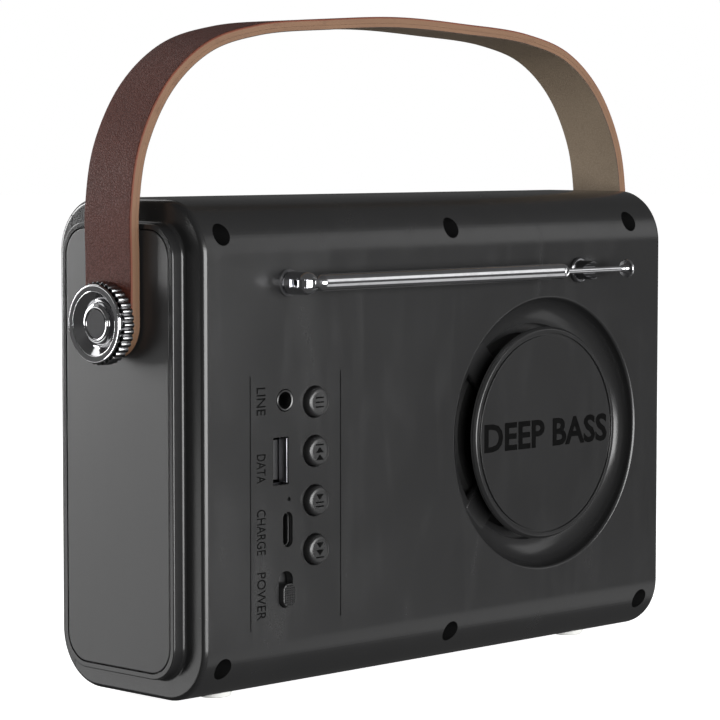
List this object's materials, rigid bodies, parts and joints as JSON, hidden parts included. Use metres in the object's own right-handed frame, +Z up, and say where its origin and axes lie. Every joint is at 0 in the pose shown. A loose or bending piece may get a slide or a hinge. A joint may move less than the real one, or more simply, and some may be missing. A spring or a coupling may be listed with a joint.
{
  "type": "portable radio",
  "caption": "Compact black portable radio with a leather carrying strap on two chrome knobs, a folding telescopic antenna, rear controls and a bass radiator.",
  "frame": {"origin": "centre of the footprint of the whole radio, at the underside of its feet", "axes": "+Z up, +X along the width, towards the left when the back is faced, +Y out of the back where the controls are; the front faces -Y"},
  "size_m": [0.2196, 0.071, 0.192],
  "materials": {
    "black_shell": "fine moulded texture, semi-gloss black",
    "side_panel": "smooth satin dark grey",
    "grille_steel": "perforated sheet, satin black",
    "dark_glass": "clear window over a dark display",
    "circuit_board": "green solder resist",
    "soft_black": "matt black moulding",
    "dark_steel": "blackened steel",
    "foot_rubber": "pale translucent rubber",
    "surround_rubber": "matt black rubber roll",
    "magnet_steel": "zinc plated",
    "cone_paper": "coated paper cone",
    "cell_wrap": "heat-shrink wrap",
    "socket_steel": "nickel plated sheet",
    "light_guide": "clear light guide",
    "button_black": "satin black key",
    "chrome": "polished chrome plate",
    "strap_leather": "dark reddish brown grained leather with tan cut edges",
    "strap_lining": "taupe lining hide",
    "badge_grey": "dark satin disc"
  },
  "bodies": {
    "case": {"rear_shell": "black_shell", "front_bezel": "black_shell", "front_grille": "grille_steel", "display_window": "dark_glass", "display_module": "circuit_board", "front_baffle": "soft_black", "side_cap_right": "side_panel", "side_inlay_right": "side_panel", "side_cap_left": "side_panel", "side_inlay_left": "side_panel", "case_screw_1": "dark_steel", "case_screw_2": "dark_steel", "case_screw_3": "dark_steel", "case_screw_4": "dark_steel", "case_screw_5": "dark_steel", "case_screw_6": "dark_steel", "foot_1": "foot_rubber", "foot_2": "foot_rubber", "foot_3": "foot_rubber", "foot_4": "foot_rubber", "bass_cap": "soft_black", "radiator_frame": "soft_black", "radiator_surround": "surround_rubber", "radiator_plate": "magnet_steel", "driver_basket_left": "dark_steel", "driver_basket_right": "dark_steel", "driver_cone_left": "cone_paper", "driver_cone_right": "cone_paper", "driver_magnet_left": "magnet_steel", "driver_magnet_right": "magnet_steel", "battery_pack": "cell_wrap", "main_board": "circuit_board", "control_board": "circuit_board", "button_bracket": "soft_black", "aux_socket": "socket_steel", "data_socket": "socket_steel", "charge_socket": "socket_steel", "status_light": "light_guide", "antenna_boss": "chrome", "antenna_clip": "dark_steel", "handle_bolt_left": "dark_steel", "handle_bolt_right": "dark_steel"},
    "handle": {"handle_strap": "strap_leather", "handle_lining": "strap_lining"},
    "knob_left": {"knob_left": "chrome", "knob_badge_left": "badge_grey"},
    "knob_right": {"knob_right": "chrome", "knob_badge_right": "badge_grey"},
    "antenna_swivel": {"antenna_swivel": "chrome", "antenna_pin": "chrome"},
    "antenna_tube_1": {"antenna_tube_1": "chrome"},
    "antenna_tube_2": {"antenna_tube_2": "chrome"},
    "antenna_tube_3": {"antenna_tube_3": "chrome"},
    "antenna_rod": {"antenna_rod": "chrome", "antenna_tip": "chrome"},
    "button_mode": {"button_mode": "button_black"},
    "button_previous": {"button_previous": "button_black"},
    "button_play": {"button_play": "button_black"},
    "button_next": {"button_next": "button_black"},
    "power_slider": {"power_slider": "button_black"}
  },
  "joints": [
    {"name": "handle_swing", "type": "hinge", "parent": "case", "child": "handle", "pos_m": [0, -0.00513, 0.1058], "axis": [1, 0, 0], "range_deg": [-115, 115]},
    {"name": "knob_left_turn", "type": "hinge", "parent": "case", "child": "knob_left", "pos_m": [0, -0.00513, 0.1058], "axis": [-1, 0, 0], "continuous": true},
    {"name": "knob_right_turn", "type": "hinge", "parent": "case", "child": "knob_right", "pos_m": [0, -0.00513, 0.1058], "axis": [1, 0, 0], "continuous": true},
    {"name": "antenna_turn", "type": "hinge", "parent": "case", "child": "antenna_swivel", "pos_m": [0.0653, 0.03262, 0.1166], "axis": [0, 1, 0], "range_deg": [0, 180]},
    {"name": "antenna_tilt", "type": "hinge", "parent": "antenna_swivel", "child": "antenna_tube_1", "pos_m": [0.0653, 0.03262, 0.1166], "axis": [0, 0, -1], "range_deg": [0, 90]},
    {"name": "antenna_slide_1", "type": "slide", "parent": "antenna_tube_1", "child": "antenna_tube_2", "axis": [-1, 0, 0], "range_m": [0, 0.082]},
    {"name": "antenna_slide_2", "type": "slide", "parent": "antenna_tube_2", "child": "antenna_tube_3", "axis": [-1, 0, 0], "range_m": [0, 0.082]},
    {"name": "antenna_slide_3", "type": "slide", "parent": "antenna_tube_3", "child": "antenna_rod", "axis": [-1, 0, 0], "range_m": [0, 0.082]},
    {"name": "mode_press", "type": "slide", "parent": "case", "child": "button_mode", "axis": [0, -1, 0], "range_m": [0, 0.001], "stiffness_N_per_m": 300, "springref_m": -0.0015},
    {"name": "previous_press", "type": "slide", "parent": "case", "child": "button_previous", "axis": [0, -1, 0], "range_m": [0, 0.001], "stiffness_N_per_m": 300, "springref_m": -0.0015},
    {"name": "play_press", "type": "slide", "parent": "case", "child": "button_play", "axis": [0, -1, 0], "range_m": [0, 0.001], "stiffness_N_per_m": 300, "springref_m": -0.0015},
    {"name": "next_press", "type": "slide", "parent": "case", "child": "button_next", "axis": [0, -1, 0], "range_m": [0, 0.001], "stiffness_N_per_m": 300, "springref_m": -0.0015},
    {"name": "power_slide", "type": "slide", "parent": "case", "child": "power_slider", "axis": [0, 0, 1], "range_m": [0, 0.0032]}
  ]
}
